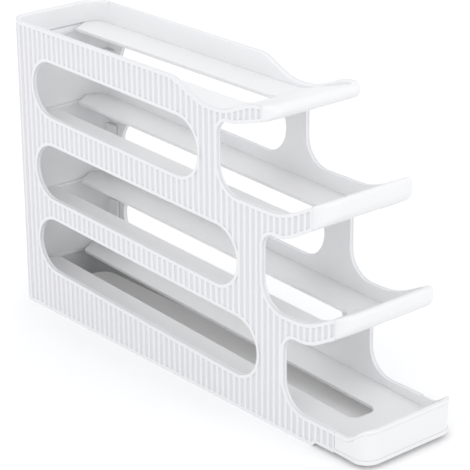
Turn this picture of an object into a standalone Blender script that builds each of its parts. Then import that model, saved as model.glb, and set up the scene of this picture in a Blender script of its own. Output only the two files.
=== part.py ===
"""Rolling egg dispenser for a refrigerator shelf: two ribbed side panels and a back panel
carry a top deck and three sloping trays, each ending in a swept-up front lip.

Every x is measured forward from the back face, y across from the middle plane and z up from
the surface that the dispenser stands on. All lengths are in metres.
"""
import math
from types import SimpleNamespace

import bmesh
import bpy
import numpy as np
from mathutils import Matrix, Vector

# Overall size
LENGTH = 0.3415                 # back face to the front wall of the lowest tray
WIDTH = 0.0740                  # over both side panels
RIM_HEIGHT = 0.1980             # level rim round the top deck
WALL = 0.0030                   # side and back panels, over their ribs
BACK_CORNER_RADIUS = 0.0137     # upright back corners, outside
REAR_SEAM = 0.0146              # where the back panel meets the side panels
FIT = 0.0003                    # gap left where two pieces meet

# Ribs: shallow upright grooves inside a smooth border
RIB_PITCH = 0.00522
GROOVE_DEPTH = 0.0008
GROOVE_MOUTH_SHARE = 0.64       # of the pitch, at the surface
GROOVE_BED_SHARE = 0.44         # of the pitch, at the bottom of the groove
BORDER = 0.0022                 # along every edge of a panel
RIM_BORDER = 0.0035             # under the level rim
PRONG_BORDER = 0.0009           # at the seam with a front lip
BACK_GROOVE_COUNT = 17          # between the two seams, round the corners

# Long holes through the side panels, rounder at the front
HOLE_REAR_X = 0.0448
HOLE_REAR_RADIUS = 0.0187
HOLE_FRONT_RADIUS = 0.0192

# Fronts of the tiers, each behind the one below it
MIDDLE_SETBACK = 0.0155
UPPER_SETBACK = 0.0190
DECK_SETBACK = 0.0460

# Levels of the three lanes: shares of the rim's height, to the rear middle of the long hole
UPPER_LEVEL_SHARE = 0.7990
MIDDLE_LEVEL_SHARE = 0.5111
LOWER_LEVEL_SHARE = 0.2495

# Tray floors, with an open slot along the middle that keeps the eggs in line
FLOOR_DROP = 0.0080             # floor below the lower edge of the long hole beside it
FLOOR_THICKNESS = 0.0020
UNDER_MARGIN = 0.0007           # side panel below the underside of the floor
SLOT_HALF_WIDTH = 0.0100
SLOT_END_RADIUS = 0.0060
SLOT_TO_SEAM = 0.0360           # front end of the slot behind the lip's seam
FORK_TIP_DEPTH = 0.0080         # slanting ends of the two strips, where the slot runs out
FORK_TIP_WIDTH = 0.0120
FORK_TIP_RADIUS = 0.0008

# Openings at the front of the lanes, and the prongs of the side panels that carry the lips
OPENING_LOW_RADIUS = 0.0178
OPENING_TOP_RADIUS = 0.0100
SWEEP_UNDER_RADIUS = 0.0340
SWEEP_TOP_RADIUS = 0.0480
SWEEP_UNDER_SLOPE = 0.555
SWEEP_TOP_SLOPE = 0.515

# Lips: thick bars with well rounded outer edges
LIP_THICKNESS = 0.0050
LIP_CREST_RADIUS = 0.0046
LIP_FOOT_RADIUS = 0.0046
LIP_INNER_RADIUS = 0.0003
LIP_SEAM_SHARE = 0.30           # of both outer radii, that is left at the seam
LIP_FULL_TURN = math.radians(60)  # of the corner, where both radii are full
RISE_SLOPE = 0.75               # tray floor where it rises to the lip
RISE_RADIUS = 0.0300
CREST_DROP = 0.0005             # rising floor below the lip's top where they meet
BURY_SHARE = 0.50               # of the lip's thickness that the floor stops short, in front
SIDE_BURY_SHARE = 0.75          # and at the sides

# Top deck, its heights measured from the rim and its lengths back from its own front
DECK_DEPTH = 0.0142
DECK_LIP_RADIUS = 0.0090
DECK_LIP_HEIGHT = 0.0080
DECK_LIP_PROUD = 0.0013         # top of the lip above the rim
DECK_UNDER_SLOPE = 0.294
DECK_TOP_SLOPE = 0.108
DECK_SWEEP_RADIUS = 0.0300
DECK_RISE_SLOPE = 0.302
RIM_END_SETBACK = 0.0875        # where the level rim turns down
RIM_END_RADIUS = 0.0200
DIP_DEPTH = 0.0110              # lowest stretch of the deck's side walls
DIP_REAR_SETBACK = 0.0640
DIP_REAR_RADIUS = 0.0400
DIP_FRONT_SETBACK = 0.0435
DIP_FRONT_RADIUS = 0.0440
DIP_RISE_SETBACK = 0.0195       # where the rise to the deck's lip levels off
DIP_RISE_RADIUS = 0.0300

# Upper tray, its heights measured down from its level
UPPER_OPENING_DEPTH = 0.0950    # rear of the opening behind the front
UPPER_HOLE_SETBACK = 0.0372     # front middle of the long hole behind the opening
UPPER_HOLE_DROP = 0.0034        # and below the rear middle
UPPER_SILL_DROP = 0.0220
UPPER_LIP_RADIUS = 0.0120
UPPER_LIP_DROP = 0.0022
UPPER_LIP_HEIGHT = 0.0143

# Middle tray
MIDDLE_OPENING_DEPTH = 0.0740
MIDDLE_HOLE_SETBACK = 0.0418
MIDDLE_HOLE_DROP = 0.0058
MIDDLE_SILL_DROP = 0.0263
MIDDLE_LIP_RADIUS = 0.0110
MIDDLE_LIP_DROP = 0.0078
MIDDLE_LIP_HEIGHT = 0.0125

# Lower tray, whose lip is a full front wall
LOWER_OPENING_DEPTH = 0.0707
LOWER_HOLE_SETBACK = 0.0428
LOWER_HOLE_DROP = 0.0079
LOWER_SILL_DROP = 0.0330
LOWER_LIP_RADIUS = 0.0108
LOWER_LIP_DROP = 0.0238
LOWER_SEAM_SETBACK = 0.0265
LOWER_CREST_SETBACK = 0.0044    # where the top of the wall levels off
LOWER_CREST_DROP = 0.0007
LOWER_CREST_RADIUS = 0.0060
LOWER_TOP_SLOPE = 0.75
LOWER_TOP_RADIUS = 0.0120
LOWER_SLOT_SETBACK = 0.0120     # front end of the slot behind the seam
LOWER_SWEEP_SETBACK = 0.0195
LOWER_SWEEP_SLOPE = 0.45
LOWER_SWEEP_RADIUS = 0.0250
LOWER_WALL = 0.0030
LOWER_EDGE_RADIUS = 0.0013
BEAD_HEIGHT = 0.0024            # band along the top and bottom of the front wall
BEAD_PROUD = 0.0005
STEP_SETBACK = 0.0190           # the lower edge is raised from here behind the seam
STEP_RISE = 0.0030

# Ledges inside the panels, under the floors, and lap tabs behind the seams
LEDGE_DEPTH = 0.0030
LEDGE_THICKNESS = 0.0020
LEDGE_SETBACK = 0.0030
BACK_LEDGE_DEPTH = 0.0015
TAB_THICKNESS = 0.0016
TAB_REACH = 0.0070
TAB_ROOT = 0.0030
TAB_BITE = 0.0006               # tabs and ledges start this deep inside their own wall
TAB_HEIGHT_SHARE = 0.35         # of the free height that a tab stands in
LIP_TAB_SHARE = 0.60            # of the free height at a lip's seam

# Working values
OVERRUN = 0.0040                # cutters pass a surface by this much
WELD = 0.000001
ARC_STEP = math.radians(9)
SMALL_ARC_STEP = math.radians(22.5)
FLAT_ANGLE = math.radians(0.2)
ARC_ROOM_SHARE = 0.98           # of the room between two corners that their arcs may fill
CORNER_STEPS = 9
STRAIGHT_STEPS = 6

# Places that follow from these sizes
INNER_HALF = WIDTH / 2 - WALL
MIDDLE_FRONT = LENGTH - MIDDLE_SETBACK
UPPER_FRONT = MIDDLE_FRONT - UPPER_SETBACK
DECK_FRONT = UPPER_FRONT - DECK_SETBACK
LOWER_OPENING_X = LENGTH - LOWER_OPENING_DEPTH
MIDDLE_OPENING_X = MIDDLE_FRONT - MIDDLE_OPENING_DEPTH
UPPER_OPENING_X = UPPER_FRONT - UPPER_OPENING_DEPTH
LOWER_SEAM = LENGTH - LOWER_SEAM_SETBACK
LOWER_LEVEL = RIM_HEIGHT * LOWER_LEVEL_SHARE
MIDDLE_LEVEL = RIM_HEIGHT * MIDDLE_LEVEL_SHARE
UPPER_LEVEL = RIM_HEIGHT * UPPER_LEVEL_SHARE


def clear_scene():
    for obj in list(bpy.data.objects):
        bpy.data.objects.remove(obj, do_unlink=True)


def collection(name):
    made = bpy.data.collections.new(name)
    bpy.context.scene.collection.children.link(made)
    return made


def plastic(name, colour, roughness):
    """Moulded opaque plastic."""
    made = bpy.data.materials.new(name)
    made.use_nodes = True
    shader = made.node_tree.nodes["Principled BSDF"]
    shader.inputs["Base Color"].default_value = (*colour, 1)
    shader.inputs["Roughness"].default_value = roughness
    shader.inputs["Metallic"].default_value = 0
    made.diffuse_color = (*colour, 1)
    return made


# Outlines in the plane

def rounded(corners, arc_step=ARC_STEP):
    """Closed outline from (a, b, radius) corners, each round one as an arc. Where two arcs
    would run into each other, both are made smaller."""
    count = len(corners)
    places = [Vector(corner[:2]) for corner in corners]
    halves = [(places[i - 1] - places[i]).angle(places[(i + 1) % count] - places[i]) / 2
              for i in range(count)]
    reaches = [corners[i][2] / math.tan(halves[i]) for i in range(count)]
    shares = [min((places[i] - places[other]).length / (reaches[i] + reaches[other])
                  for other in (i - 1, (i + 1) % count) if reaches[i] + reaches[other] > 0)
              if reaches[i] > 0 else 1 for i in range(count)]
    points = []
    for index, here in enumerate(places):
        share = min(1, shares[index] * ARC_ROOM_SHARE)
        radius, reach, half = corners[index][2] * share, reaches[index] * share, halves[index]
        if radius == 0:
            points.append(tuple(here))
            continue
        back = (places[index - 1] - here).normalized()
        ahead = (places[(index + 1) % count] - here).normalized()
        centre = here + (back + ahead).normalized() * radius / math.sin(half)
        start = here + back * reach - centre
        turn = -start.angle_signed(here + ahead * reach - centre)
        steps = max(2, math.ceil(abs(turn) / arc_step))
        for step in range(steps + 1):
            cos, sin = math.cos(turn * step / steps), math.sin(turn * step / steps)
            points.append((centre.x + start.x * cos - start.y * sin,
                           centre.y + start.x * sin + start.y * cos))
    return points


def inset(points, distance):
    """The outline moved inwards, for one that runs anticlockwise."""
    moved = []
    for index, point in enumerate(points):
        here = Vector(point)
        arriving = (here - Vector(points[index - 1])).normalized()
        leaving = (Vector(points[(index + 1) % len(points)]) - here).normalized()
        normal = Vector((-arriving.y - leaving.y, arriving.x + leaving.x)).normalized()
        stretch = normal.dot(Vector((-arriving.y, arriving.x)))
        moved.append(tuple(here + normal * distance / stretch))
    return moved


def long_hole(rear, rear_radius, front, front_radius):
    """Outline round two circles and the straight edges that touch both."""
    rear, front = Vector(rear), Vector(front)
    line = front - rear
    heading = math.atan2(line.y, line.x)
    lean = math.acos((rear_radius - front_radius) / line.length)
    points = []
    for centre, radius, begin, end in ((front, front_radius, -lean, lean),
                                       (rear, rear_radius, lean, 2 * math.pi - lean)):
        steps = math.ceil((end - begin) / ARC_STEP)
        for step in range(steps + 1):
            angle = heading + begin + (end - begin) * step / steps
            points.append((centre.x + radius * math.cos(angle), centre.y + radius * math.sin(angle)))
    return points


def crossing(height_a, slope_a, height_b, slope_b):
    """Where two lines meet, each given by its height at x = 0 and its slope."""
    x = (height_b - height_a) / (slope_a - slope_b)
    return x, height_a + slope_a * x


def height_at(line, x):
    """Height of an open line of (x, z) points at one x."""
    xs, zs = zip(*sorted(line))
    return float(np.interp(x, xs, zs))


# The four tiers

def lane(level, front_x, drop):
    """Rear and front middle of a lane's long hole, and the floor parallel to its lower edge
    as height at x = 0 and slope."""
    rear_edge, front_edge = level - HOLE_REAR_RADIUS, level - drop - HOLE_FRONT_RADIUS
    slope = (front_edge - rear_edge) / (front_x - HOLE_REAR_X)
    floor = (rear_edge - slope * HOLE_REAR_X - FLOOR_DROP, slope)
    return ((HOLE_REAR_X, level), (front_x, level - drop)), floor


def lipped_tier(name, hole, floor, front, lip_radius, low, top, slopes, sweep_radius, sill, ledge_end):
    """A tier whose floor rises to a lip between the prongs of the side panels. Low and top are
    the lip's heights in front, and slopes those of the prong's underside, its top and the floor."""
    under_slope, top_slope, rise_slope = slopes
    seam = front - lip_radius - FIT / 2
    low_line = (low - under_slope * front, under_slope)
    top_line = (top - top_slope * front, top_slope)
    crest_x = front - LIP_THICKNESS
    crest_under = top_line[0] + top_slope * crest_x - CREST_DROP - FLOOR_THICKNESS
    return SimpleNamespace(
        name=name, front=front, seam=seam, lip_radius=lip_radius, slot_end=seam - SLOT_TO_SEAM,
        hole=hole, floor=floor, sweep_radius=sweep_radius, sill=sill, ledge_end=ledge_end,
        low_corner=crossing(floor[0] - FLOOR_THICKNESS - UNDER_MARGIN, floor[1], *low_line),
        top_corner=crossing(sill, 0.0, *top_line),
        low=lambda x: low_line[0] + under_slope * x, top=lambda x: top_line[0] + top_slope * x,
        rise=(crest_under - rise_slope * crest_x, rise_slope), rise_radius=RISE_RADIUS,
        sheet_end=[(crest_x, crest_under, 0), (front, crest_under - LIP_THICKNESS, 0)],
        thickness=LIP_THICKNESS,
        radii=(LIP_FOOT_RADIUS, LIP_INNER_RADIUS, LIP_INNER_RADIUS, LIP_CREST_RADIUS), wall=False)


def lower_tier():
    """The lowest tray, with a tall wall round its front."""
    hole, floor = lane(LOWER_LEVEL, LOWER_OPENING_X - LOWER_HOLE_SETBACK, LOWER_HOLE_DROP)
    sill, lip_top = LOWER_LEVEL - LOWER_SILL_DROP, LOWER_LEVEL - LOWER_LIP_DROP
    crest_x, crest_z = LENGTH - LOWER_CREST_SETBACK, lip_top - LOWER_CREST_DROP
    foot_x = crest_x - (crest_z - sill) / LOWER_TOP_SLOPE
    level_slope = LOWER_CREST_DROP / LOWER_CREST_SETBACK
    top_line = open_line([(LOWER_OPENING_X, sill, 0), (foot_x, sill, LOWER_TOP_RADIUS),
                          (crest_x, crest_z, LOWER_CREST_RADIUS),
                          (LENGTH + OVERRUN, lip_top + level_slope * OVERRUN, 0)])
    sweep_x = LENGTH - LOWER_SWEEP_SETBACK
    under = floor[0] - FLOOR_THICKNESS + floor[1] * sweep_x
    rise = (under - LOWER_SWEEP_SLOPE * sweep_x, LOWER_SWEEP_SLOPE)
    return SimpleNamespace(
        name="lower_tray", front=LENGTH, seam=LOWER_SEAM, lip_radius=LOWER_LIP_RADIUS,
        slot_end=LOWER_SEAM - LOWER_SLOT_SETBACK, hole=hole, floor=floor, sill=sill,
        ledge_end=LOWER_SEAM - TAB_REACH - LEDGE_SETBACK,
        low=lambda x: STEP_RISE, top=lambda x: height_at(top_line, x),
        rise=rise, rise_radius=LOWER_SWEEP_RADIUS,
        sheet_end=[(LENGTH, rise[0] + rise[1] * LENGTH, 0)],
        thickness=LOWER_WALL, radii=(LOWER_EDGE_RADIUS,) * 4, wall=True)


def open_line(corners):
    """An open line with rounded corners, as (x, z) points; its two ends stay as they are."""
    (first_x, first_z, _), (last_x, last_z, _) = corners[0], corners[-1]
    drop = max(last_x - first_x, abs(last_z - first_z))
    closed = rounded(corners + [(last_x, last_z + drop, 0), (first_x, last_z + drop, 0)])
    return closed[:-2]


def tiers():
    upper_hole, upper_floor = lane(UPPER_LEVEL, UPPER_OPENING_X - UPPER_HOLE_SETBACK, UPPER_HOLE_DROP)
    middle_hole, middle_floor = lane(MIDDLE_LEVEL, MIDDLE_OPENING_X - MIDDLE_HOLE_SETBACK,
                                     MIDDLE_HOLE_DROP)
    deck_top = RIM_HEIGHT + DECK_LIP_PROUD
    upper_top, middle_top = UPPER_LEVEL - UPPER_LIP_DROP, MIDDLE_LEVEL - MIDDLE_LIP_DROP
    sweep = (SWEEP_UNDER_SLOPE, SWEEP_TOP_SLOPE, RISE_SLOPE)
    deck = lipped_tier("deck_tray", None, (RIM_HEIGHT - DECK_DEPTH, 0.0), DECK_FRONT, DECK_LIP_RADIUS,
                       deck_top - DECK_LIP_HEIGHT, deck_top,
                       (DECK_UNDER_SLOPE, DECK_TOP_SLOPE, DECK_RISE_SLOPE), DECK_SWEEP_RADIUS,
                       RIM_HEIGHT - DIP_DEPTH, UPPER_OPENING_X - LEDGE_SETBACK)
    upper = lipped_tier("upper_tray", upper_hole, upper_floor, UPPER_FRONT, UPPER_LIP_RADIUS,
                        upper_top - UPPER_LIP_HEIGHT, upper_top, sweep, SWEEP_UNDER_RADIUS,
                        UPPER_LEVEL - UPPER_SILL_DROP, MIDDLE_OPENING_X - LEDGE_SETBACK)
    middle = lipped_tier("middle_tray", middle_hole, middle_floor, MIDDLE_FRONT, MIDDLE_LIP_RADIUS,
                         middle_top - MIDDLE_LIP_HEIGHT, middle_top, sweep, SWEEP_UNDER_RADIUS,
                         MIDDLE_LEVEL - MIDDLE_SILL_DROP, LOWER_OPENING_X - LEDGE_SETBACK)
    return SimpleNamespace(deck=deck, upper=upper, middle=middle, lower=lower_tier())


def floor_top(tier, x):
    return tier.floor[0] + tier.floor[1] * x


def floor_under(tier, x):
    return floor_top(tier, x) - FLOOR_THICKNESS


# Solids

def mesh_object(name, mesh, group, frame, placing=None):
    made = bpy.data.objects.new(name, mesh)
    made.parent = frame
    if placing is not None:
        made.matrix_basis = placing
    group.objects.link(made)
    return made


def flat_solid(name, loops, low, high, upright, group, frame):
    """Filled outlines with a thickness. Upright ones are side views, thick across; the others
    are plans, thick in height."""
    curve = bpy.data.curves.new(name, "CURVE")
    curve.dimensions = "2D"
    curve.fill_mode = "BOTH"
    curve.extrude = (high - low) / 2
    for loop in loops:
        spline = curve.splines.new("POLY")
        spline.points.add(len(loop) - 1)
        for point, (a, b) in zip(spline.points, loop):
            point.co = (a, b, 0, 1)
        spline.use_cyclic_u = True
    holder = bpy.data.objects.new(name, curve)
    if upright:
        turned = Matrix.Rotation(math.pi / 2, 4, "X")
        placing = Matrix.Translation((0, (low + high) / 2, 0)) @ turned
    else:
        placing = Matrix.Translation((0, 0, (low + high) / 2))
    bpy.context.scene.collection.objects.link(holder)
    depsgraph = bpy.context.evaluated_depsgraph_get()
    mesh = bpy.data.meshes.new_from_object(holder.evaluated_get(depsgraph), depsgraph=depsgraph)
    bpy.data.objects.remove(holder, do_unlink=True)
    bm = bmesh.new()
    bm.from_mesh(mesh)
    bmesh.ops.remove_doubles(bm, verts=bm.verts, dist=WELD)
    bmesh.ops.recalc_face_normals(bm, faces=bm.faces)
    bm.to_mesh(mesh)
    bm.free()
    mesh.name = name
    return mesh_object(name, mesh, group, frame, placing)


def combine(target, other, operation):
    change = target.modifiers.new(f"{operation.lower()} {other.name}", "BOOLEAN")
    change.object = other
    change.operation = operation
    change.solver = "EXACT"


def finish(obj, material):
    """Merge the flat faces that the cuts have split, and give the piece its material."""
    merge = obj.modifiers.new("merge flat faces", "DECIMATE")
    merge.decimate_type = "DISSOLVE"
    merge.angle_limit = FLAT_ANGLE
    obj.data.materials.clear()
    obj.data.materials.append(material)


def mirrored(points, side):
    """Plan points for the near side (-1) or the far side (1)."""
    return [(x, side * y) for x, y in points]


# Side panels

def panel_outline(levels, rear, rim, extra, corner_radius):
    """Side view of a side panel, anticlockwise from its lower rear corner. The prongs reach
    the seams of the lips, and extra lengthens them."""
    deck, upper, middle, lower = levels.deck, levels.upper, levels.middle, levels.lower

    def prong_end(tier):
        return tier.seam - FIT / 2 + extra

    def opening_top(tier, x):
        return x, floor_under(tier, x) - UNDER_MARGIN, OPENING_TOP_RADIUS

    step_x = lower.seam - STEP_SETBACK
    corners = [(rear, 0, 0), (step_x, 0, corner_radius),
               (step_x + STEP_RISE, STEP_RISE, corner_radius),
               (prong_end(lower), STEP_RISE, 0),
               (prong_end(lower), lower.top(prong_end(lower)), 0),
               (LOWER_OPENING_X, lower.sill, OPENING_LOW_RADIUS)]
    for tier, below, ahead in ((middle, LOWER_OPENING_X, MIDDLE_OPENING_X),
                               (upper, MIDDLE_OPENING_X, UPPER_OPENING_X)):
        corners += [opening_top(tier, below),
                    (*tier.low_corner, tier.sweep_radius),
                    (prong_end(tier), tier.low(prong_end(tier)), 0),
                    (prong_end(tier), tier.top(prong_end(tier)), 0),
                    (*tier.top_corner, SWEEP_TOP_RADIUS),
                    (ahead, tier.sill, OPENING_LOW_RADIUS)]
    corners += [opening_top(deck, UPPER_OPENING_X),
                (*deck.low_corner, deck.sweep_radius),
                (prong_end(deck), deck.low(prong_end(deck)), 0),
                (prong_end(deck), deck.top(prong_end(deck)), 0),
                (deck.front - DIP_RISE_SETBACK, deck.top(deck.front - DIP_RISE_SETBACK), DIP_RISE_RADIUS),
                (deck.front - DIP_FRONT_SETBACK, deck.sill, DIP_FRONT_RADIUS),
                (deck.front - DIP_REAR_SETBACK, deck.sill, DIP_REAR_RADIUS),
                (deck.front - RIM_END_SETBACK, rim, RIM_END_RADIUS),
                (rear, rim, 0)]
    return rounded(corners)


def panel_holes(levels, margin):
    """The three long holes, larger by the margin."""
    return [long_hole(tier.hole[0], HOLE_REAR_RADIUS + margin, tier.hole[1], HOLE_FRONT_RADIUS + margin)
            for tier in (levels.upper, levels.middle, levels.lower)]


def groove_section(half_mouth, half_bed, depth, overrun):
    """Plan section of a groove cutter round x = 0, its mouth at y = 0 and its bed at -depth."""
    flare = (half_mouth - half_bed) / depth * overrun
    return [(-half_bed, -depth), (half_bed, -depth),
            (half_mouth + flare, overrun), (-half_mouth - flare, overrun)]


def panel_grooves(side, levels, cutters, frame):
    """Cutter of the upright grooves: a row of bars, kept inside the border."""
    section = groove_section(RIB_PITCH * GROOVE_MOUTH_SHARE / 2, RIB_PITCH * GROOVE_BED_SHARE / 2,
                             GROOVE_DEPTH, GROOVE_DEPTH)
    bar = [(REAR_SEAM + x, side * (WIDTH / 2 + y)) for x, y in section]
    bars = flat_solid(f"groove_bars_{side}", [bar], -OVERRUN, RIM_HEIGHT + OVERRUN, False, cutters, frame)
    row = bars.modifiers.new("row of grooves", "ARRAY")
    row.use_relative_offset = False
    row.use_constant_offset = True
    row.constant_offset_displace = (RIB_PITCH, 0, 0)
    row.count = math.floor((LOWER_SEAM - REAR_SEAM) / RIB_PITCH) + 1
    outline = panel_outline(levels, REAR_SEAM - BORDER - OVERRUN, RIM_HEIGHT - RIM_BORDER + BORDER,
                            BORDER - PRONG_BORDER, 0)
    field_low, field_high = sorted((side * (WIDTH / 2 - GROOVE_DEPTH * 2),
                                    side * (WIDTH / 2 + GROOVE_DEPTH * 2)))
    field = flat_solid(f"groove_field_{side}", [inset(outline, BORDER)] + panel_holes(levels, BORDER),
                       field_low, field_high, True, cutters, frame)
    combine(bars, field, "INTERSECT")
    return bars


def ledge(name, tier, side, cutters, frame):
    """Ledge on the inside of a side panel, just under a tray floor."""
    ends = (REAR_SEAM + TAB_REACH + LEDGE_SETBACK, tier.ledge_end)
    outline = [(x, floor_under(tier, x) - FIT - LEDGE_THICKNESS) for x in ends]
    outline += [(x, floor_under(tier, x) - FIT) for x in reversed(ends)]
    low, high = sorted((side * (INNER_HALF - LEDGE_DEPTH), side * (INNER_HALF + TAB_BITE)))
    return flat_solid(name, [outline], low, high, True, cutters, frame)


def side_panel(name, side, levels, material, parts, cutters, frame):
    outline = panel_outline(levels, REAR_SEAM + FIT / 2, RIM_HEIGHT, 0, 0)
    low, high = sorted((side * INNER_HALF, side * WIDTH / 2))
    panel = flat_solid(name, [outline] + panel_holes(levels, 0), low, high, True, parts, frame)
    for tier in (levels.deck, levels.upper, levels.middle, levels.lower):
        combine(panel, ledge(f"ledge_{tier.name}_{side}", tier, side, cutters, frame), "UNION")
    combine(panel, panel_grooves(side, levels, cutters, frame), "DIFFERENCE")
    finish(panel, material)
    return panel


# Lap tabs

def tab_plan(wall_end, direction):
    """Plan of a tab rooted in a wall that ends at wall_end; it laps behind the next piece."""
    root = wall_end - direction * TAB_ROOT
    tip = wall_end + direction * TAB_REACH
    outside, inside = INNER_HALF - FIT, INNER_HALF - FIT - TAB_THICKNESS
    return [(root, INNER_HALF + TAB_BITE), (wall_end, INNER_HALF + TAB_BITE), (wall_end, outside),
            (tip, outside), (tip, inside), (root, inside)]


# Back panel

def back_path(distance):
    """Point and outward direction on the outer face, a distance along it from the near seam."""
    straight = REAR_SEAM - BACK_CORNER_RADIUS
    quarter = BACK_CORNER_RADIUS * math.pi / 2
    half_flat = WIDTH / 2 - BACK_CORNER_RADIUS
    middle = straight + quarter + half_flat
    side = 1
    if distance > middle:
        distance = 2 * middle - distance
        side = -1
    if distance < straight:
        point, out = Vector((REAR_SEAM - distance, -WIDTH / 2)), Vector((0, -1))
    elif distance < straight + quarter:
        angle = (distance - straight) / BACK_CORNER_RADIUS
        out = Vector((-math.sin(angle), -math.cos(angle)))
        point = Vector((BACK_CORNER_RADIUS, -half_flat)) + out * BACK_CORNER_RADIUS
    else:
        point = Vector((0, -half_flat + distance - straight - quarter))
        out = Vector((-1, 0))
    return Vector((point.x, side * point.y)), Vector((out.x, side * out.y))


def back_grooves(cutters, frame):
    length = 2 * (REAR_SEAM - BACK_CORNER_RADIUS + BACK_CORNER_RADIUS * math.pi / 2
                  + WIDTH / 2 - BACK_CORNER_RADIUS)
    pitch = length / BACK_GROOVE_COUNT
    section = groove_section(pitch * GROOVE_MOUTH_SHARE / 2, pitch * GROOVE_BED_SHARE / 2,
                             GROOVE_DEPTH, GROOVE_DEPTH)
    loops = []
    for index in range(BACK_GROOVE_COUNT + 1):
        point, out = back_path(index * pitch)
        along = Vector((-out.y, out.x))
        loops.append([tuple(point + along * a + out * b) for a, b in section])
    return flat_solid("back_groove_bars", loops, BORDER, RIM_HEIGHT - RIM_BORDER, False, cutters, frame)


def back_panel(levels, material, parts, cutters, frame):
    """Back wall with its two rounded upright corners, ledges and lap tabs."""
    end = REAR_SEAM - FIT / 2
    inner_radius = BACK_CORNER_RADIUS - WALL
    plan = rounded([(end, -WIDTH / 2, 0), (end, -INNER_HALF, 0), (WALL, -INNER_HALF, inner_radius),
                    (WALL, INNER_HALF, inner_radius), (end, INNER_HALF, 0), (end, WIDTH / 2, 0),
                    (0, WIDTH / 2, BACK_CORNER_RADIUS), (0, -WIDTH / 2, BACK_CORNER_RADIUS)])
    panel = flat_solid("back_panel", [plan], 0, RIM_HEIGHT, False, parts, frame)
    order = (levels.lower, levels.middle, levels.upper, levels.deck)
    half_flat = INNER_HALF - inner_radius
    for tier in order:
        tip = WALL + BACK_LEDGE_DEPTH
        under = floor_under(tier, tip) - FIT
        plan = [(WALL - TAB_BITE, -half_flat), (tip, -half_flat), (tip, half_flat), (WALL - TAB_BITE, half_flat)]
        shelf = flat_solid(f"back_ledge_{tier.name}", [plan], under - LEDGE_THICKNESS, under, False,
                           cutters, frame)
        combine(panel, shelf, "UNION")
    for below, above in zip(order, order[1:]):
        bottom, top = floor_top(below, end), floor_under(above, end)
        reach = (top - bottom) * TAB_HEIGHT_SHARE / 2
        middle = (top + bottom) / 2
        for side in (-1, 1):
            tab = flat_solid(f"back_tab_{below.name}_{side}", [mirrored(tab_plan(end, 1), side)],
                             middle - reach, middle + reach, False, cutters, frame)
            combine(panel, tab, "UNION")
    combine(panel, back_grooves(cutters, frame), "DIFFERENCE")
    finish(panel, material)
    return panel


# Trays

def lip_section(tier, height):
    """Section of a lip as (depth behind the outer face, height) points, anticlockwise."""
    outer_foot, inner_foot, inner_crest, outer_crest = tier.radii
    points = rounded([(0, 0, outer_foot), (tier.thickness, 0, inner_foot),
                      (tier.thickness, height, inner_crest), (0, height, outer_crest)], SMALL_ARC_STEP)
    if tier.wall:
        points += [(0, height - BEAD_HEIGHT), (BEAD_PROUD, height - BEAD_HEIGHT - BEAD_PROUD),
                   (BEAD_PROUD, BEAD_HEIGHT + BEAD_PROUD), (0, BEAD_HEIGHT)]
    return points


def soften_seam(bm, tier, turn_x, half, height):
    """Make the lip's outer radii grow along each corner, from a small one at the seam."""
    for vert in bm.verts:
        ahead, across = max(0.0, vert.co.x - turn_x), max(0.0, abs(vert.co.y) - half)
        reach = math.hypot(ahead, across)
        turn = math.atan2(ahead, across)
        depth, level = tier.lip_radius - reach, vert.co.z
        share = LIP_SEAM_SHARE + (1 - LIP_SEAM_SHARE) * min(1, turn / LIP_FULL_TURN)
        low = level < height / 2
        if depth < (LIP_FOOT_RADIUS if low else LIP_CREST_RADIUS):
            edge = 0 if low else height
            vert.co.z = edge + (level - edge) * share
            grown = (tier.lip_radius - depth * share) / reach
            vert.co.x = turn_x + ahead * grown
            vert.co.y = math.copysign(half + across * grown, vert.co.y) if across > 0 else vert.co.y


def lip(tier, cutters, frame):
    """Lip round the front of a tray: its section is carried round both corners, and then
    lifted so that it follows the sweep of the side panels."""
    start = tier.seam + FIT / 2
    turn_x = tier.front - tier.lip_radius
    nominal = max(tier.top(tier.front) - tier.low(tier.front), sum(tier.radii) / 2)
    bm = bmesh.new()
    section = [bm.verts.new((start, -WIDTH / 2 + depth, level)) for depth, level in lip_section(tier, nominal)]
    bm.faces.new(section)

    def push(faces, step, end_of_lip):
        made = bmesh.ops.extrude_face_region(bm, geom=faces)["geom"]
        bmesh.ops.translate(bm, vec=step, verts=[v for v in made if isinstance(v, bmesh.types.BMVert)])
        if not end_of_lip:
            bmesh.ops.delete(bm, geom=faces, context="FACES_ONLY")
        return [f for f in made if isinstance(f, bmesh.types.BMFace)]

    def turn(faces, centre):
        edges = list({edge for face in faces for edge in face.edges})
        verts = list({vert for face in faces for vert in face.verts})
        made = bmesh.ops.spin(bm, geom=verts + edges + faces, cent=centre, axis=(0, 0, 1),
                              angle=math.pi / 2, steps=CORNER_STEPS)["geom_last"]
        return [f for f in made if isinstance(f, bmesh.types.BMFace)]

    half = WIDTH / 2 - tier.lip_radius
    straight = turn_x - start > WELD
    stride = (turn_x - start) / STRAIGHT_STEPS
    faces = bm.faces[:]
    if straight:
        for index in range(STRAIGHT_STEPS):
            faces = push(faces, (stride, 0, 0), index == 0)
    faces = turn(faces, (turn_x, -half, 0))
    faces = push(faces, (0, 2 * half, 0), False)
    faces = turn(faces, (turn_x, half, 0))
    if straight:
        for index in range(STRAIGHT_STEPS):
            faces = push(faces, (-stride, 0, 0), False)
    bmesh.ops.remove_doubles(bm, verts=bm.verts, dist=WELD)
    if not tier.wall:
        soften_seam(bm, tier, turn_x, half, nominal)
    for vert in bm.verts:
        level = vert.co.z
        if level > nominal / 2:
            vert.co.z = tier.top(vert.co.x) - (nominal - level)
        else:
            vert.co.z = tier.low(vert.co.x) + level
    bmesh.ops.recalc_face_normals(bm, faces=bm.faces)
    mesh = bpy.data.meshes.new(f"lip_{tier.name}")
    bm.to_mesh(mesh)
    bm.free()
    return mesh_object(mesh.name, mesh, cutters, frame)


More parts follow.
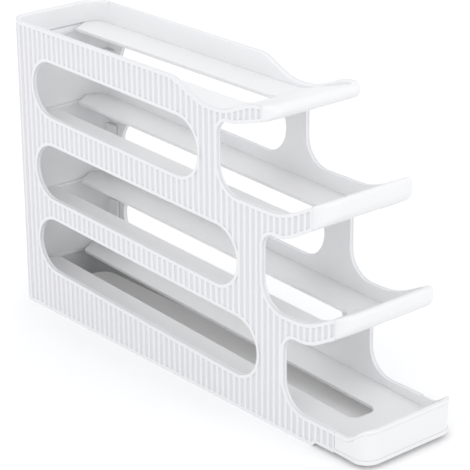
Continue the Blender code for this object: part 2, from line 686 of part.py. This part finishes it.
def tray_plan(tier):
    """Plan of a tray floor: two strips joined at the front, with the slot open at the back."""
    side = INNER_HALF - FIT
    rear = WALL + FIT
    outer_radius = BACK_CORNER_RADIUS - WALL
    ahead = tier.front - tier.thickness * BURY_SHARE
    inside_lip = tier.seam + FIT
    bury = tier.thickness * SIDE_BURY_SHARE
    half = [(rear + FORK_TIP_DEPTH, SLOT_HALF_WIDTH, FORK_TIP_RADIUS),
            (rear, SLOT_HALF_WIDTH + FORK_TIP_WIDTH, FORK_TIP_RADIUS), (rear, side, outer_radius),
            (inside_lip, side, 0), (inside_lip, WIDTH / 2 - bury, 0),
            (ahead, WIDTH / 2 - bury, tier.lip_radius - bury)]
    slot = [(tier.slot_end, SLOT_HALF_WIDTH, SLOT_END_RADIUS)]
    other = [(x, -y, radius) for x, y, radius in half]
    return rounded([(tier.slot_end, -SLOT_HALF_WIDTH, SLOT_END_RADIUS)] + other
                   + half[::-1] + slot)


def lip_tab_heights(tier, start):
    """Bottom and top of a lap tab, which hangs under the floor of its tray."""
    height, slope = (tier.floor[0] - FLOOR_THICKNESS, tier.floor[1]) if tier.wall else tier.rise
    high = height + slope * (start - TAB_REACH) + FLOOR_THICKNESS / 2
    return high - (high - tier.low(start)) * LIP_TAB_SHARE, high


def tray(tier, material, parts, cutters, frame):
    """A tray: floor sheet in side view, trimmed to its plan, with its lip and lap tabs."""
    rear = WALL - OVERRUN
    foot = crossing(tier.floor[0] - FLOOR_THICKNESS, tier.floor[1], *tier.rise)
    under = open_line([(rear, floor_under(tier, rear), 0), (*foot, tier.rise_radius)] + tier.sheet_end)
    sheet = under + [(x, z + FLOOR_THICKNESS) for x, z in reversed(under)]
    body = flat_solid(tier.name, [sheet], -WIDTH / 2, WIDTH / 2, True, parts, frame)
    plan = flat_solid(f"plan_{tier.name}", [tray_plan(tier)], min(z for _, z in sheet) - OVERRUN,
                      max(z for _, z in sheet) + OVERRUN, False, cutters, frame)
    combine(body, plan, "INTERSECT")
    combine(body, lip(tier, cutters, frame), "UNION")
    start = tier.seam + FIT / 2
    bottom, top = lip_tab_heights(tier, start)
    for side in (-1, 1):
        tab = flat_solid(f"tab_{tier.name}_{side}", [mirrored(tab_plan(start, -1), side)],
                         bottom, top, False, cutters, frame)
        combine(body, tab, "UNION")
    finish(body, material)
    return body


def build():
    clear_scene()
    parts = collection("rolling_egg_dispenser")
    cutters = collection("cutters")
    frame = bpy.data.objects.new("back_face_middle", None)
    frame.location = (-LENGTH / 2, 0, 0)
    parts.objects.link(frame)
    levels = tiers()
    panel_white = (0.86, 0.86, 0.87)
    tray_white = (0.84, 0.84, 0.85)
    side_panel("left_side_panel", -1, levels, plastic("left panel plastic", panel_white, 0.35),
               parts, cutters, frame)
    side_panel("right_side_panel", 1, levels, plastic("right panel plastic", panel_white, 0.35),
               parts, cutters, frame)
    back_panel(levels, plastic("back panel plastic", panel_white, 0.35), parts, cutters, frame)
    for tier in (levels.deck, levels.upper, levels.middle, levels.lower):
        tray(tier, plastic(f"{tier.name} plastic", tray_white, 0.4), parts, cutters, frame)
    for cutter in cutters.objects:
        cutter.hide_render = True
        cutter.display_type = "WIRE"


build()
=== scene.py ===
# %% [markdown]
# # A rolling egg dispenser in white moulded plastic
# Two ribbed side panels and a back panel carry a top deck and three sloping trays. Everything
# is one family of satin white plastic, so the whole look rests on three things: soft edges
# that catch the light, shallow ribs that hold a little shade, and very even studio light.

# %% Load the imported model
import math

import bmesh
import bpy
from mathutils import Matrix, Vector


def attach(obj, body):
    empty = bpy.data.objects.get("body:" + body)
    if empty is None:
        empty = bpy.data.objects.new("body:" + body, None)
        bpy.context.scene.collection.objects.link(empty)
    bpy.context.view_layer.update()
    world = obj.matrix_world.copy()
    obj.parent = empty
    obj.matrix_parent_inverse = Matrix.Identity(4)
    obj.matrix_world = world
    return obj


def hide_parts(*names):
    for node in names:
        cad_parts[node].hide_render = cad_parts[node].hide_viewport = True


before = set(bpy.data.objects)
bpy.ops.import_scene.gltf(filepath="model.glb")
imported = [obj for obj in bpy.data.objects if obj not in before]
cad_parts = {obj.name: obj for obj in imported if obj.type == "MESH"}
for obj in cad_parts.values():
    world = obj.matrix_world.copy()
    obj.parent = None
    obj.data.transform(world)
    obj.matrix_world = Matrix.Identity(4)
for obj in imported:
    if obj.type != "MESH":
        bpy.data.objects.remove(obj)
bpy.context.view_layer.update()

# %% [markdown]
# A few sizes of the real dispenser steer both the shapes and the materials. The ribs stand
# between grooves 0.8 mm deep in the outer faces, and these faces follow one plan outline: flat
# sides, flat back, and two round upright corners behind. The depth of a point below that
# outline tells whether it is on a rib, in a groove or on the inner face of a wall.

# %% The plan outline of the walls
LENGTH, WIDTH, RIM_HEIGHT = 0.3415, 0.0740, 0.1980
CORNER_RADIUS = 0.0137          # of the upright back corners
GROOVE_DEPTH, WALL = 0.0008, 0.0030
BACK_X = -LENGTH / 2
TURN_X, TURN_Y = BACK_X + CORNER_RADIUS, WIDTH / 2 - CORNER_RADIUS   # axes of those corners
WELD = 0.00001                  # points nearer to each other than this are one corner


def outline_depth(place):
    """Depth of a point below the plan outline of the walls."""
    behind = max(0.0, TURN_X - place.x)
    beside = max(0.0, abs(place.y) - TURN_Y)
    return CORNER_RADIUS - math.hypot(behind, beside)


print("back face at", round(BACK_X, 5), "corner axes at", round(TURN_X, 5), round(TURN_Y, 5))

# %% [markdown]
# On the real dispenser the pieces fit so closely that most seams don't show, while the packed
# pieces stand 0.3 mm apart. A strip of filler would add a piece that isn't there. Instead the
# corners of a shown tray that lie along a fit are moved 0.2 mm into it, and so are those of
# the back panel's front edges. The rest of each piece stays where it is.

# %% Close the fits between the pieces
TRAY_HALF = 0.0337              # half width of a tray between the panels
FIT_CLOSED = 0.0002             # how far a shown piece reaches into each fit
BACK_SEAM_X = -0.1563           # front edges of the back panel
LIP_SEAM_X = {                  # where each lip begins, ahead of the side panels
    "deck_tray": 0.08125, "upper_tray": 0.12425, "middle_tray": 0.14425, "lower_tray": 0.1444}


def close_fits(bm, node):
    moved = 0
    for vert in bm.verts:
        place = vert.co.copy()
        if node == "back_panel" and abs(place.x - BACK_SEAM_X) < WELD:
            place.x += FIT_CLOSED
        if node in LIP_SEAM_X and abs(place.x - LIP_SEAM_X[node]) < WELD:
            place.x -= FIT_CLOSED
        if node in LIP_SEAM_X and abs(abs(place.y) - TRAY_HALF) < WELD:
            place.y += math.copysign(FIT_CLOSED, place.y)
        moved += place != vert.co
        vert.co = place
    return moved


print(len(LIP_SEAM_X), "trays reach", FIT_CLOSED * 1000, "mm into their fits")

# %% [markdown]
# Around the deck the walls end in a rim. Its inner corner is cut away by about a millimetre,
# and the grooves outside reach up to 2.4 mm below it. The inner edge of the rim is found by
# its depth below the plan outline. The flat faces on top are first dissolved into one, so
# that the bevel operator finds a plain corner, and takes it off. A groove's upper end is a
# few corners at one depth below the rim's line, and these are lifted.

# %% Soften the rim
RIM_LOWEST = 0.1855             # nothing but the rim is higher on the walls' inside
RIM_CORNER = 0.0011             # taken off the rim's inner corner
RIM_BORDER, RIM_BORDER_SLACK = 0.0035, 0.0003   # packed band between the rim and the grooves
GROOVE_RAISED = 0.0011
RAISE_END = 0.0010              # ahead of this place the rim descends, and the grooves stay
RISING_FACE, LEVEL_FACE = 0.3, 0.999            # upward part of a face's normal
SEAM_EDGE = math.radians(24)    # edges sharper than this are seen as edges
TOUCH, GROOVE_SLACK = 3 * WELD, 5 * WELD


def on_inner_rim(vert):
    return vert.co.z > RIM_LOWEST and abs(outline_depth(vert.co) - WALL) < TOUCH


def height_on(line, x):
    """Height of a line of (x, z) points at a place along it."""
    for (x0, z0), (x1, z1) in zip(line, line[1:]):
        if x0 <= x <= x1:
            return z0 + (z1 - z0) * (x - x0) / (x1 - x0)
    return line[0][1] if x < line[0][0] else line[-1][1]


def raise_grooves(bm):
    rim = sorted({round(v.co.x, 5): v.co.z for v in bm.verts if on_inner_rim(v)}.items())
    ends = [v for v in bm.verts if v.co.x < RAISE_END
            and outline_depth(v.co) < GROOVE_DEPTH + GROOVE_SLACK
            and abs(height_on(rim, v.co.x) - v.co.z - RIM_BORDER) < RIM_BORDER_SLACK]
    for vert in ends:
        vert.co.z += GROOVE_RAISED
    bm.normal_update()
    return len(ends)


def soften_rim(bm):
    """Carry the grooves nearer to the rim, and take off the rim's inner corner."""
    raised = raise_grooves(bm)
    top = [face for face in bm.faces if face.normal.z > LEVEL_FACE
           and min(vert.co.z for vert in face.verts) > RIM_HEIGHT - TOUCH]
    bmesh.ops.dissolve_faces(bm, faces=top)
    corner = [edge for edge in bm.edges if all(on_inner_rim(vert) for vert in edge.verts)
              and len(edge.link_faces) == 2 and edge.calc_face_angle(0) > SEAM_EDGE
              and max(face.normal.z for face in edge.link_faces) > RISING_FACE]
    made = bmesh.ops.bevel(bm, geom=corner, offset=RIM_CORNER, offset_type="OFFSET", segments=1,
                           affect="EDGES", clamp_overlap=False, material=-1)
    return raised, len(corner), len(made["faces"])


print("rim corner", RIM_CORNER * 1000, "mm, grooves up by", GROOVE_RAISED * 1000, "mm")

# %% [markdown]
# The lowest tray ends in an upright wall whose face comes straight down to its lower edge. In
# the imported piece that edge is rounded. Each of its corners is moved outwards from the axis
# of the wall's upright round corners, or straight ahead between them, as far as the face.

# %% Square the foot of the lowest wall
FRONT_RADIUS = 0.0108           # of the wall's upright corners
FOOT_TOP, FOOT_DEPTH = 0.0044, 0.0014           # the rounded edge reaches this high and deep


def square_foot(bm):
    turn_x, turn_y = LENGTH / 2 - FRONT_RADIUS, WIDTH / 2 - FRONT_RADIUS
    moved = 0
    for vert in bm.verts:
        if vert.co.x < LIP_SEAM_X["lower_tray"] - WELD or vert.co.z > FOOT_TOP:
            continue
        ahead, across = max(0.0, vert.co.x - turn_x), max(0.0, abs(vert.co.y) - turn_y)
        reach = math.hypot(ahead, across)
        if WELD < FRONT_RADIUS - reach < FOOT_DEPTH:
            grown = FRONT_RADIUS / reach - 1
            vert.co += Vector((ahead * grown, math.copysign(across * grown, vert.co.y), 0))
            moved += 1
    return moved


print("front face at", round(LENGTH / 2, 5))

# %% [markdown]
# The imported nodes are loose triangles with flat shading, which shows every facet of the round
# lips. Each piece is therefore shown by a merged copy: doubles are merged, edges flatter than
# the seam angle are shaded smooth, and a Weighted Normal modifier lets the large flat faces
# win over the small ones beside them.

# %% A merged, smoothly shaded copy of a node
FLAT_FACES_WIN = 90             # weight of the large faces, out of 100


def shown_copy(node, name):
    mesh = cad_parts[node].data.copy()
    mesh.name = name
    mesh.materials.clear()
    bm = bmesh.new()
    bm.from_mesh(mesh)
    bmesh.ops.remove_doubles(bm, verts=bm.verts, dist=WELD)
    closed = close_fits(bm, node)
    if node == "lower_tray":
        print("foot corners moved:", square_foot(bm))
    if node.endswith("_panel"):
        print("groove corners raised, rim edges, faces made:", soften_rim(bm))
    for face in bm.faces:
        face.smooth = True
    for edge in bm.edges:
        edge.smooth = len(edge.link_faces) == 2 and edge.calc_face_angle(0) < SEAM_EDGE
    bm.to_mesh(mesh)
    count = len(bm.faces)
    bm.free()
    piece = bpy.data.objects.new(name, mesh)
    bpy.context.scene.collection.objects.link(piece)
    weigh = piece.modifiers.new("flat faces win", "WEIGHTED_NORMAL")
    weigh.keep_sharp = True
    weigh.weight = FLAT_FACES_WIN
    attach(piece, "root")
    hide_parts(node)
    print(name, count, "faces,", closed, "corners moved at the fits")
    return piece


print("edges over", round(math.degrees(SEAM_EDGE)), "degrees stay sharp")

# %% [markdown]
# The finishes are made of nodes, and a few helpers keep that short. One adds a node, one a
# socket of a node group, and one a sum, product or comparison whose inputs are numbers or the
# outputs of other nodes. A node group is built once and placed in every material.

# %% Helpers for the nodes
def add_node(tree, kind, **values):
    node = tree.nodes.new(kind)
    for key, value in values.items():
        setattr(node, key, value)
    return node


def new_socket(tree, name, kind, output=False, value=None):
    way = "OUTPUT" if output else "INPUT"
    socket = tree.interface.new_socket(name=name, in_out=way, socket_type=kind)
    if value is not None:
        socket.default_value = value


def new_group(name, inputs, outputs):
    """A node group with its sockets, and its own input and output nodes."""
    tree = bpy.data.node_groups.new(name, "ShaderNodeTree")
    for socket, kind, value in inputs:
        new_socket(tree, socket, f"NodeSocket{kind}", value=value)
    for socket, kind in outputs:
        new_socket(tree, socket, f"NodeSocket{kind}", output=True)
    return tree, add_node(tree, "NodeGroupInput"), add_node(tree, "NodeGroupOutput")


def feed(tree, socket, value):
    """Give an input a number or colour, or join an output to it."""
    if isinstance(value, (int, float, tuple)):
        socket.default_value = value
    else:
        tree.links.new(value, socket)


def math_node(tree, operation, *values, clamp=False):
    node = add_node(tree, "ShaderNodeMath", operation=operation, use_clamp=clamp)
    for socket, value in zip(node.inputs, values):
        feed(tree, socket, value)
    return node.outputs[0]


def along(tree, vector):
    """The X, Y and Z of a place or a direction."""
    parts = add_node(tree, "ShaderNodeSeparateXYZ")
    feed(tree, parts.inputs[0], vector)
    return parts.outputs["X"], parts.outputs["Y"], parts.outputs["Z"]


print("helpers:", add_node.__name__, new_group.__name__, math_node.__name__, along.__name__)

# %% [markdown]
# Moulded plastic is never one flat colour. The skin group gives slow clouds of tone from the
# way the melt cools, a fine grain from the mould, and a sheen that varies with both. It puts
# out a colour, a roughness and a height, and each material gives it its own values.

# %% The moulded skin, as a node group
CLOUDS, STREAKS, GRAIN = (26, 3, 0.55), (160, 2, 0.5), (1500, 2, 0.6)   # scale, detail, roughness
CLOUD_SHARE, GRAIN_SHARE = 0.75, 0.5            # the streaks give the rest
SHEEN_CHANGE = 0.08


def noise(tree, vector, sizes):
    node = add_node(tree, "ShaderNodeTexNoise", noise_dimensions="3D")
    feed(tree, node.inputs["Vector"], vector)
    for socket, value in zip(("Scale", "Detail", "Roughness"), sizes):
        node.inputs[socket].default_value = value
    return node.outputs["Fac"]


def blend(tree, a, b, share):
    return math_node(tree, "ADD", math_node(tree, "MULTIPLY", a, share),
                     math_node(tree, "MULTIPLY", b, 1 - share))


def skin_group():
    tree, ins, outs = new_group(
        "moulded_skin",
        [("Vector", "Vector", None), ("Colour", "Color", (0.8, 0.8, 0.8, 1)),
         ("Cloud Strength", "Float", 0.03), ("Roughness", "Float", 0.35),
         ("Sheen Change", "Float", SHEEN_CHANGE)],
        [("Colour", "Color"), ("Roughness", "Float"), ("Height", "Float")])
    cloud, streak, grain = (noise(tree, ins.outputs["Vector"], sizes)
                            for sizes in (CLOUDS, STREAKS, GRAIN))
    centred = math_node(tree, "SUBTRACT", blend(tree, cloud, streak, CLOUD_SHARE), 0.5)
    change = math_node(tree, "MULTIPLY", centred, ins.outputs["Cloud Strength"])
    scaled = add_node(tree, "ShaderNodeVectorMath", operation="SCALE")
    feed(tree, scaled.inputs[0], ins.outputs["Colour"])
    feed(tree, scaled.inputs["Scale"], math_node(tree, "ADD", change, 1))
    feed(tree, outs.inputs["Colour"], scaled.outputs["Vector"])
    sheen = math_node(tree, "MULTIPLY", centred, ins.outputs["Sheen Change"])
    rough = math_node(tree, "ADD", ins.outputs["Roughness"], sheen, clamp=True)
    feed(tree, outs.inputs["Roughness"], rough)
    feed(tree, outs.inputs["Height"], blend(tree, grain, streak, GRAIN_SHARE))
    return tree


SKIN = skin_group()
print(SKIN.name, len(SKIN.nodes), "nodes")

# %% [markdown]
# The grooves between the ribs get a painted shade, a cooler grey than the ribs, that stands in
# for the shade in these recesses. This group measures how deep a point lies below the plan
# outline: across the flat sides and the back it is a plain distance, and round the two corners it
# is measured from the corner's own axis.

# %% Depth below the plan outline, as a node group
def groove_shade_group():
    tree, ins, outs = new_group("groove_shade_mask", [("Vector", "Vector", None)], [("Mask", "Float")])
    x, y, _ = along(tree, ins.outputs["Vector"])
    behind = math_node(tree, "MAXIMUM", math_node(tree, "SUBTRACT", TURN_X, x), 0)
    beside = math_node(tree, "SUBTRACT", math_node(tree, "ABSOLUTE", y), TURN_Y)
    beside = math_node(tree, "MAXIMUM", beside, 0)
    squares = (math_node(tree, "MULTIPLY", side, side) for side in (behind, beside))
    reach = math_node(tree, "SQRT", math_node(tree, "ADD", *squares))
    depth = math_node(tree, "SUBTRACT", CORNER_RADIUS, reach)
    rising = math_node(tree, "DIVIDE", depth, GROOVE_DEPTH, clamp=True)
    shallow = math_node(tree, "LESS_THAN", depth, GROOVE_DEPTH * 2)
    feed(tree, outs.inputs["Mask"], math_node(tree, "MULTIPLY", rising, shallow))
    return tree


GROOVE_SHADE = groove_shade_group()
print(GROOVE_SHADE.name, len(GROOVE_SHADE.nodes), "nodes")

# %% [markdown]
# A mould never gives a knife edge: every rim here is rounded by a few tenths of a millimetre, and
# that small round is what draws the bright lines along the rims. The Bevel node rounds the
# shading there. The angle between its normal and the true one marks the edge, and there the
# colour gets a painted highlight, a touch whiter. Where a tray meets a panel the edge stays
# plain, because there the two read as one surface.

# %% Soft edges, as a node group
FIT_ZONE = 0.0009               # edges this near to a fit stay plain
EDGE_RADIUS, EDGE_GAIN, EDGE_SAMPLES = 0.0005, 4, 8
FAR_AWAY = 10.0                 # a fit that a piece doesn't have


def edge_group():
    tree, ins, outs = new_group(
        "soft_edges",
        [("Vector", "Vector", None), ("Radius", "Float", EDGE_RADIUS),
         ("Half Width", "Float", FAR_AWAY), ("Seam Place", "Float", FAR_AWAY)],
        [("Normal", "Vector"), ("Edge", "Float")])
    x, y, _ = along(tree, ins.outputs["Vector"])
    at_side = math_node(tree, "COMPARE", math_node(tree, "ABSOLUTE", y),
                        ins.outputs["Half Width"], FIT_ZONE)
    at_seam = math_node(tree, "COMPARE", x, ins.outputs["Seam Place"], FIT_ZONE)
    free = math_node(tree, "SUBTRACT", 1, math_node(tree, "MAXIMUM", at_side, at_seam))
    rounded = add_node(tree, "ShaderNodeBevel", samples=EDGE_SAMPLES)
    feed(tree, rounded.inputs["Radius"], math_node(tree, "MULTIPLY", ins.outputs["Radius"], free))
    true = add_node(tree, "ShaderNodeNewGeometry")
    dot = add_node(tree, "ShaderNodeVectorMath", operation="DOT_PRODUCT")
    feed(tree, dot.inputs[0], rounded.outputs["Normal"])
    feed(tree, dot.inputs[1], true.outputs["Normal"])
    bend = math_node(tree, "SUBTRACT", 1, dot.outputs["Value"])
    feed(tree, outs.inputs["Edge"], math_node(tree, "MULTIPLY", bend, EDGE_GAIN, clamp=True))
    feed(tree, outs.inputs["Normal"], rounded.outputs["Normal"])
    return tree


EDGES = edge_group()
print(EDGES.name, len(EDGES.nodes), "nodes")

# %% [markdown]
# Two fine lines are painted shade, in colour alone. The two narrow slopes that join the face of
# the lowest wall to the beads along its top and bottom get a painted shade, a little greyer. A
# fine painted shadow line also crosses the inner face of the back panel at the level of the deck.
# Each is a mask: one picks faces by their tilt, the other picks points by their place.

# %% Masks for two painted shade lines
BEAD_TILT, BEAD_TILT_SLACK = 0.707, 0.080       # upward or downward part of the slopes' normal
# Place and width of the painted shadow line on the back panel.
DECK_SHADOW_Z, DECK_SHADOW_HALF, DECK_SHADOW_REACH = 0.1837, 0.0005, 0.0236
BACK_INSIDE_X = -0.16775        # inner face of the back panel


def bead_shade_line(tree, place):
    """Painted shade on the two narrow slopes between the lowest wall's face and its beads."""
    x, _, _ = along(tree, place)
    true = add_node(tree, "ShaderNodeNewGeometry")
    _, _, tilt = along(tree, true.outputs["True Normal"])
    sloping = math_node(tree, "COMPARE", math_node(tree, "ABSOLUTE", tilt), BEAD_TILT,
                        BEAD_TILT_SLACK)
    ahead = math_node(tree, "GREATER_THAN", x, LIP_SEAM_X["lower_tray"])
    return math_node(tree, "MULTIPLY", sloping, ahead)


def deck_shadow_line(tree, place):
    """A painted shadow line across the inside of the back panel."""
    x, y, z = along(tree, place)
    level = math_node(tree, "COMPARE", z, DECK_SHADOW_Z, DECK_SHADOW_HALF)
    inside = math_node(tree, "COMPARE", x, BACK_INSIDE_X, DECK_SHADOW_HALF)
    across = math_node(tree, "COMPARE", y, 0.0, DECK_SHADOW_REACH)
    return math_node(tree, "MULTIPLY", math_node(tree, "MULTIPLY", level, inside), across)


# Painted shade on the bead slopes, and a painted shadow line on the back panel.
PAINTED_SHADE_LINES = {"lower_tray": (bead_shade_line, (0.745, 0.745, 0.755, 1)),
         "back_panel": (deck_shadow_line, (0.560, 0.560, 0.570, 1))}
print("fine lines on", sorted(PAINTED_SHADE_LINES))

# %% [markdown]
# Each material keeps its own Principled shader. The panels are a slightly cool white with a
# painted shade in the grooves, and the trays a neutral white with a smoother sheen on the lips.
# The colour is built up in layers: plastic, painted shade in the grooves, painted highlights on
# the edges, a painted shade line if the piece has one, and the skin's clouds over all. The grain
# is bump far too fine to see as a shape.

# %% White moulded plastic
# Painted highlight: the colour towards which the edges are mixed.
EDGE_HIGHLIGHT_WHITE = (0.930, 0.928, 0.925, 1)
REFRACTION, GLOSS = 1.46, 0.45  # index of refraction, and the strength of the clear reflection
GRAIN_HEIGHT = 0.00005


def group_node(tree, group, place):
    node = add_node(tree, "ShaderNodeGroup")
    node.node_tree = group
    feed(tree, node.inputs["Vector"], place)
    return node


def mix_colour(tree, factor, a, b):
    node = add_node(tree, "ShaderNodeMix", data_type="RGBA")
    for socket, value in zip((node.inputs[0], node.inputs[6], node.inputs[7]), (factor, a, b)):
        feed(tree, socket, value)
    return node.outputs[2]


def white_plastic(node, colour, groove_shade_colour, roughness, cloud, grain):
    material = bpy.data.materials.new(f"{node}_white")
    material.use_nodes = True
    tree = material.node_tree
    shader = tree.nodes["Principled BSDF"]
    shader.inputs["Metallic"].default_value = 0.0
    shader.inputs["IOR"].default_value = REFRACTION
    shader.inputs["Specular IOR Level"].default_value = GLOSS
    place = add_node(tree, "ShaderNodeTexCoord").outputs["Object"]
    skin, groove_shade, edges = (group_node(tree, group, place) for group in (SKIN, GROOVE_SHADE, EDGES))
    edges.inputs["Radius"].default_value = EDGE_RADIUS
    edges.inputs["Half Width"].default_value = TRAY_HALF if node in LIP_SEAM_X else FAR_AWAY
    edges.inputs["Seam Place"].default_value = LIP_SEAM_X.get(node, BACK_SEAM_X)
    skin.inputs["Cloud Strength"].default_value = cloud
    skin.inputs["Roughness"].default_value = roughness
    # Painted shade in the grooves, then a painted highlight along the edges.
    tone = mix_colour(tree, groove_shade.outputs["Mask"], colour, groove_shade_colour)
    tone = mix_colour(tree, edges.outputs["Edge"], tone, EDGE_HIGHLIGHT_WHITE)
    if node in PAINTED_SHADE_LINES:
        line, shade = PAINTED_SHADE_LINES[node]
        tone = mix_colour(tree, line(tree, place), tone, shade)
    feed(tree, skin.inputs["Colour"], tone)
    feed(tree, shader.inputs["Base Color"], skin.outputs["Colour"])
    feed(tree, shader.inputs["Roughness"], skin.outputs["Roughness"])
    bump = add_node(tree, "ShaderNodeBump")
    bump.inputs["Strength"].default_value = grain
    bump.inputs["Distance"].default_value = GRAIN_HEIGHT
    feed(tree, bump.inputs["Height"], skin.outputs["Height"])
    feed(tree, bump.inputs["Normal"], edges.outputs["Normal"])
    feed(tree, shader.inputs["Normal"], bump.outputs["Normal"])
    return material


print("edges", EDGE_HIGHLIGHT_WHITE[:3], "with a soft radius of", EDGE_RADIUS * 1000, "mm")

# %% [markdown]
# Now each piece gets its copy and its plastic. Every piece has a material of its own, so a batch
# that came out of the mould a shade off can be changed alone. The trays have no grooves, so their
# painted groove shade is the same white.

# %% Dress the seven pieces
PANEL_WHITE = (0.880, 0.881, 0.888, 1)
# Painted shade: the grooves' cooler grey stands in for the shade in these recesses.
PANEL_GROOVE_SHADE = (0.775, 0.778, 0.805, 1)
TRAY_WHITE = (0.885, 0.885, 0.887, 1)
PANEL_FINISH = (PANEL_WHITE, PANEL_GROOVE_SHADE, 0.36, 0.030, 0.30)   # roughness, clouds, grain
TRAY_FINISH = (TRAY_WHITE, TRAY_WHITE, 0.32, 0.024, 0.22)
PIECES = ("left_side_panel", "right_side_panel", "back_panel", "deck_tray", "upper_tray",
          "middle_tray", "lower_tray")
for node in PIECES:
    piece = shown_copy(node, f"{node}_shell")
    finish = TRAY_FINISH if node in LIP_SEAM_X else PANEL_FINISH
    piece.data.materials.append(white_plastic(node, *finish))
print(len(PIECES), "pieces dressed")

# %% [markdown]
# The floor and the surroundings both have to look plain white to the camera and in
# reflections, while the light that they throw on the dispenser stays as it is. A Light Path
# node tells which rays look, and a Mix Shader gives these another shader than the rest.

# %% One look for rays that see, another for the rest
def mix_by_ray(tree, kinds, otherwise, seen_as):
    paths = add_node(tree, "ShaderNodeLightPath")
    seen = paths.outputs[f"Is {kinds[0]} Ray"]
    for kind in kinds[1:]:
        seen = math_node(tree, "MAXIMUM", seen, paths.outputs[f"Is {kind} Ray"])
    choose = add_node(tree, "ShaderNodeMixShader")
    for socket, value in zip(choose.inputs, (seen, otherwise, seen_as)):
        feed(tree, socket, value)
    return choose.outputs[0]


print("helper:", mix_by_ray.__name__)

# %% [markdown]
# The floor stands for a white studio table. It glows a little towards the camera, so that it
# melts into the white background, and its diffuse part still takes the contact shadow. The glow
# fades close to the dispenser, which adds a painted shade along its foot on top of that shadow.

# %% A white floor that keeps the shadow
FLOOR_HALF, FLOOR_TONE, FLOOR_GLOW = 3.0, (0.84, 0.84, 0.84, 1), 0.205
SHADE_REACH, SHADE_SHARE, SHADE_SAMPLES = 0.03, 0.35, 16        # of the glow's fading
floor_mesh = bpy.data.meshes.new("studio_floor")
bm = bmesh.new()
bmesh.ops.create_grid(bm, x_segments=1, y_segments=1, size=FLOOR_HALF)
bm.to_mesh(floor_mesh)
bm.free()
floor = bpy.data.objects.new("studio_floor", floor_mesh)
bpy.context.scene.collection.objects.link(floor)
floor_white = bpy.data.materials.new("studio_floor_white")
floor_white.use_nodes = True
tree = floor_white.node_tree
tree.nodes.clear()
diffuse, glow, dark = (add_node(tree, f"ShaderNode{kind}")
                       for kind in ("BsdfDiffuse", "Emission", "Emission"))
diffuse.inputs["Color"].default_value = FLOOR_TONE
dark.inputs["Strength"].default_value = 0
# Painted shade: ambient occlusion dims the glow where the floor is near the dispenser.
near = add_node(tree, "ShaderNodeAmbientOcclusion", samples=SHADE_SAMPLES)
near.inputs["Distance"].default_value = SHADE_REACH
glow_with_painted_shade = math_node(tree, "MULTIPLY", near.outputs["AO"], FLOOR_GLOW * SHADE_SHARE)
glow_with_painted_shade = math_node(tree, "ADD", glow_with_painted_shade, FLOOR_GLOW * (1 - SHADE_SHARE))
feed(tree, glow.inputs["Strength"], glow_with_painted_shade)
both = add_node(tree, "ShaderNodeAddShader")
feed(tree, both.inputs[0], diffuse.outputs[0])
feed(tree, both.inputs[1],
     mix_by_ray(tree, ("Camera", "Glossy"), dark.outputs[0], glow.outputs[0]))
feed(tree, add_node(tree, "ShaderNodeOutputMaterial").inputs["Surface"], both.outputs[0])
floor_mesh.materials.append(floor_white)
print("floor", [round(v, 2) for v in floor.dimensions])

# %% [markdown]
# A light tent surrounds the real set, so most of the light comes from all sides. The world
# gives that light, a touch cool, and shows plain white to the camera.

# %% The light tent
TENT_COLOUR, TENT_STRENGTH = (0.98, 0.985, 1.0, 1), 1.0
PLAIN_WHITE = (1, 1, 1, 1)
world = bpy.data.worlds.new("light_tent")
bpy.context.scene.world = world
world.use_nodes = True
tree = world.node_tree
tree.nodes.clear()
soft, white = (add_node(tree, "ShaderNodeBackground") for _ in range(2))
for node, colour, strength in ((soft, TENT_COLOUR, TENT_STRENGTH), (white, PLAIN_WHITE, 1)):
    node.inputs["Color"].default_value = colour
    node.inputs["Strength"].default_value = strength
shown = mix_by_ray(tree, ("Camera", "Glossy", "Transmission"), soft.outputs[0], white.outputs[0])
feed(tree, add_node(tree, "ShaderNodeOutputWorld").inputs["Surface"], shown)
print(world.name, "strength", TENT_STRENGTH)

# %% [markdown]
# Three large soft lamps add to the tent: one ahead for the lips, one above for the deck and
# one at the left for the ribbed panel. They are weak, so that the white plastic keeps its
# shades and never clips.

# %% Three soft lamps
LAMPS = {                       # place, width in metres, power in watts
    "lamp_ahead": ((1.5, 0.15, 0.5), 1.0, 2.5),
    "lamp_above": ((0.1, -0.1, 1.6), 1.2, 0.6),
    "lamp_left": ((0.1, -1.6, 0.6), 1.0, 2.3),
}
MIDDLE = Vector((0, 0, RIM_HEIGHT / 2))
for name, (place, size, power) in LAMPS.items():
    light = bpy.data.lights.new(name, "AREA")
    light.shape = "DISK"
    light.size = size
    light.energy = power
    lamp = bpy.data.objects.new(name, light)
    lamp.location = place
    lamp.rotation_euler = (MIDDLE - Vector(place)).to_track_quat("-Z", "Y").to_euler()
    bpy.context.scene.collection.objects.link(lamp)
print("lamps", list(LAMPS))

# %% [markdown]
# The camera repeats the photograph's long lens: about 40 degrees round from the front towards
# the left, 22 degrees above, and a hair of roll. A long lens from far away keeps the uprights
# almost parallel.

# %% The camera
AZIMUTH, ELEVATION, ROLL = math.radians(-40.48), math.radians(21.89), math.radians(-0.38)
CAMERA_PLACE = (0.88245, -0.7412, 0.5487)
FOCAL_PIXELS, FRAME_PIXELS, SENSOR = 1984.1, 470, 36.0
NEAREST_SEEN = 0.05
back = Vector((math.cos(ELEVATION) * math.cos(AZIMUTH),
               math.cos(ELEVATION) * math.sin(AZIMUTH), math.sin(ELEVATION)))
right = Vector((0, 0, 1)).cross(back).normalized()
up = back.cross(right)
rolled_right = math.cos(ROLL) * right + math.sin(ROLL) * up
rolled_up = math.cos(ROLL) * up - math.sin(ROLL) * right
lens = bpy.data.cameras.new("photo_lens")
lens.sensor_width = SENSOR
lens.lens = FOCAL_PIXELS * SENSOR / FRAME_PIXELS
lens.clip_start = NEAREST_SEEN
camera = bpy.data.objects.new("photo_camera", lens)
turn = Matrix((rolled_right, rolled_up, back)).transposed().to_4x4()
camera.matrix_world = Matrix.Translation(CAMERA_PLACE) @ turn
bpy.context.scene.collection.objects.link(camera)
bpy.context.scene.camera = camera
bpy.context.scene.view_settings.view_transform = "Standard"
print("lens", round(lens.lens, 2), "mm")
